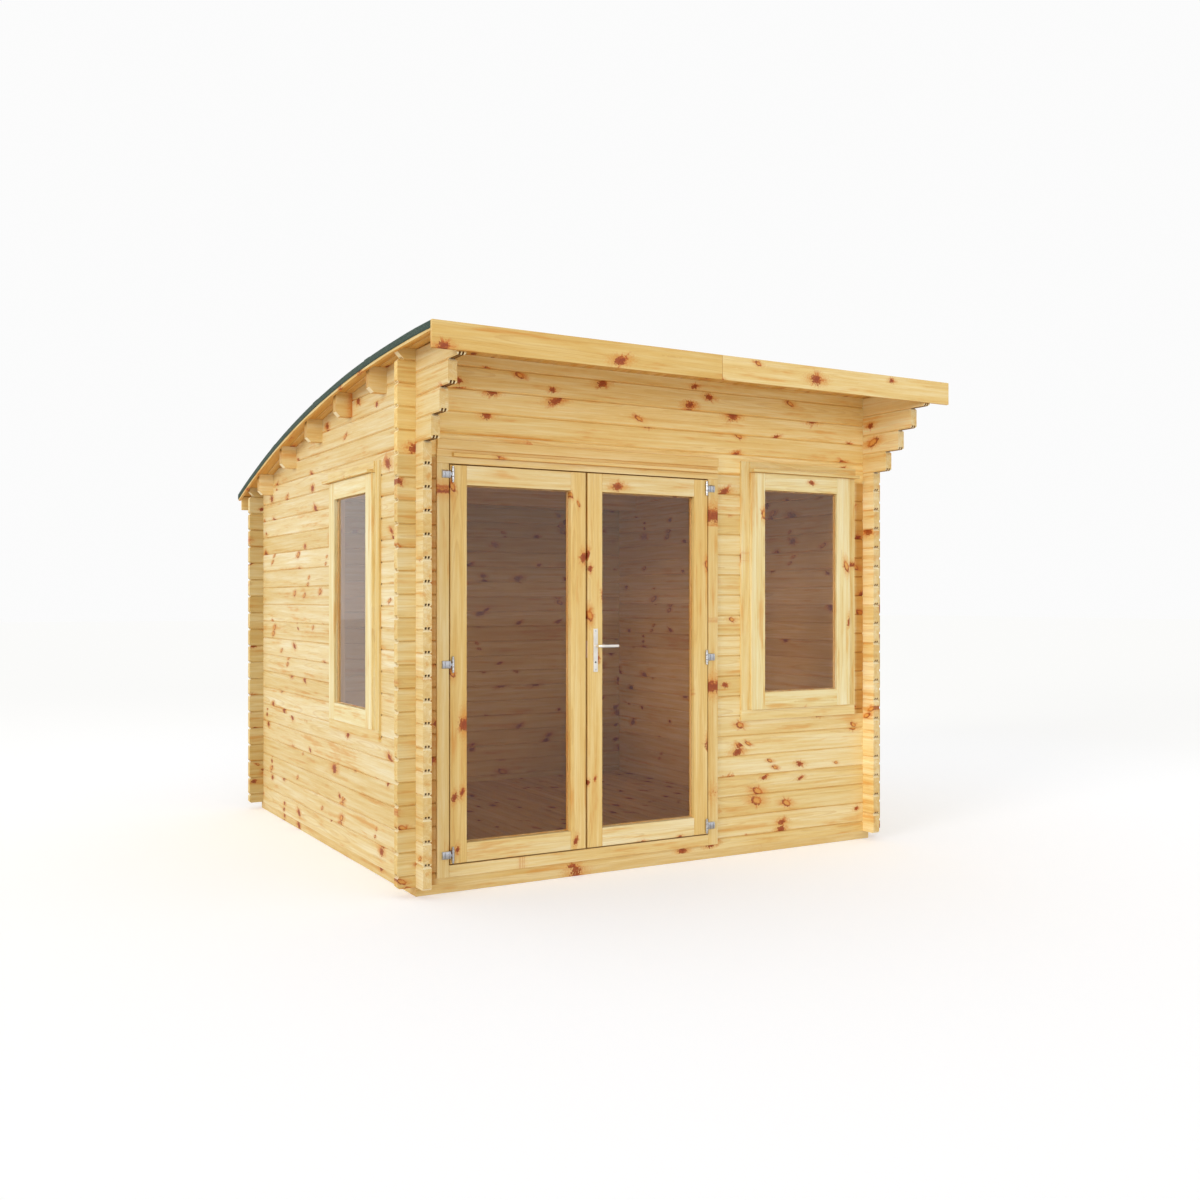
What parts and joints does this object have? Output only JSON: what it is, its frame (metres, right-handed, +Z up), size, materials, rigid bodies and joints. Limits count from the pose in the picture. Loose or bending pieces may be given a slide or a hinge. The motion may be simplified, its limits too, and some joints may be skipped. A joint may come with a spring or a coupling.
{
  "type": "log cabin",
  "caption": "Log cabin with crossed corner logs, a one-way curved felted roof on purlins, a glazed double door and tall windows in the front and left walls.",
  "frame": {"origin": "on the ground, under the middle of the part's box", "axes": "+X along the front from left to right, front faces -Y, +Z up"},
  "size_m": [3.18, 3.588, 2.694],
  "materials": {
    "log_wood": "planed pine, untreated",
    "board_wood": "planed spruce boards",
    "joinery_wood": "planed and sanded pine",
    "base_timber": "sawn timber",
    "floor_wood": "tongue and groove boards",
    "felt": "mineral felt, dark green",
    "glass": "clear",
    "hinge_steel": "zinc plated",
    "handle_metal": "satin"
  },
  "bodies": {
    "cabin": {"end_beams": "base_timber", "side_beams": "base_timber", "floor_joists": "base_timber", "floor_boards": "floor_wood", "front_sill_log": "log_wood", "front_left_logs": "log_wood", "front_low_logs": "log_wood", "front_middle_logs": "log_wood", "front_right_logs": "log_wood", "front_top_logs": "log_wood", "back_logs": "log_wood", "left_low_logs": "log_wood", "left_front_logs": "log_wood", "left_rear_logs": "log_wood", "left_gable_logs": "log_wood", "right_logs": "log_wood", "right_gable_logs": "log_wood", "purlins": "log_wood", "roof_deck": "board_wood", "verge_battens": "board_wood", "front_fascia": "board_wood", "back_fascia": "board_wood", "door_jambs": "joinery_wood", "door_stops": "joinery_wood", "door_head": "joinery_wood", "door_head_trim": "joinery_wood", "door_sill": "joinery_wood", "front_window_frame": "joinery_wood", "front_window_sash": "joinery_wood", "left_window_frame": "joinery_wood", "left_window_sash": "joinery_wood", "roof_felt": "felt", "front_window_glass": "glass", "left_window_glass": "glass", "frame_hinges": "hinge_steel"},
    "left_door": {"left_leaf_stiles": "joinery_wood", "left_leaf_rails": "joinery_wood", "left_leaf_glass": "glass", "left_leaf_hinges": "hinge_steel"},
    "right_door": {"right_leaf_stiles": "joinery_wood", "right_leaf_rails": "joinery_wood", "right_leaf_glass": "glass", "right_leaf_hinges": "hinge_steel", "handle_plates": "handle_metal"},
    "door_lever_body": {"door_lever": "handle_metal"}
  },
  "joints": [
    {"name": "left_door_hinge", "type": "hinge", "parent": "cabin", "child": "left_door", "pos_m": [-1.274, -1.291, 1.127], "axis": [0, 0, -1], "range_deg": [0, 150]},
    {"name": "right_door_hinge", "type": "hinge", "parent": "cabin", "child": "right_door", "pos_m": [0.249, -1.291, 1.127], "axis": [0, 0, 1], "range_deg": [0, 165]},
    {"name": "lever_turn", "type": "hinge", "parent": "right_door", "child": "door_lever_body", "pos_m": [-0.4625, -1.29, 1.203], "axis": [0, 1, 0], "range_deg": [0, 40], "stiffness_Nm_per_rad": 1}
  ]
}
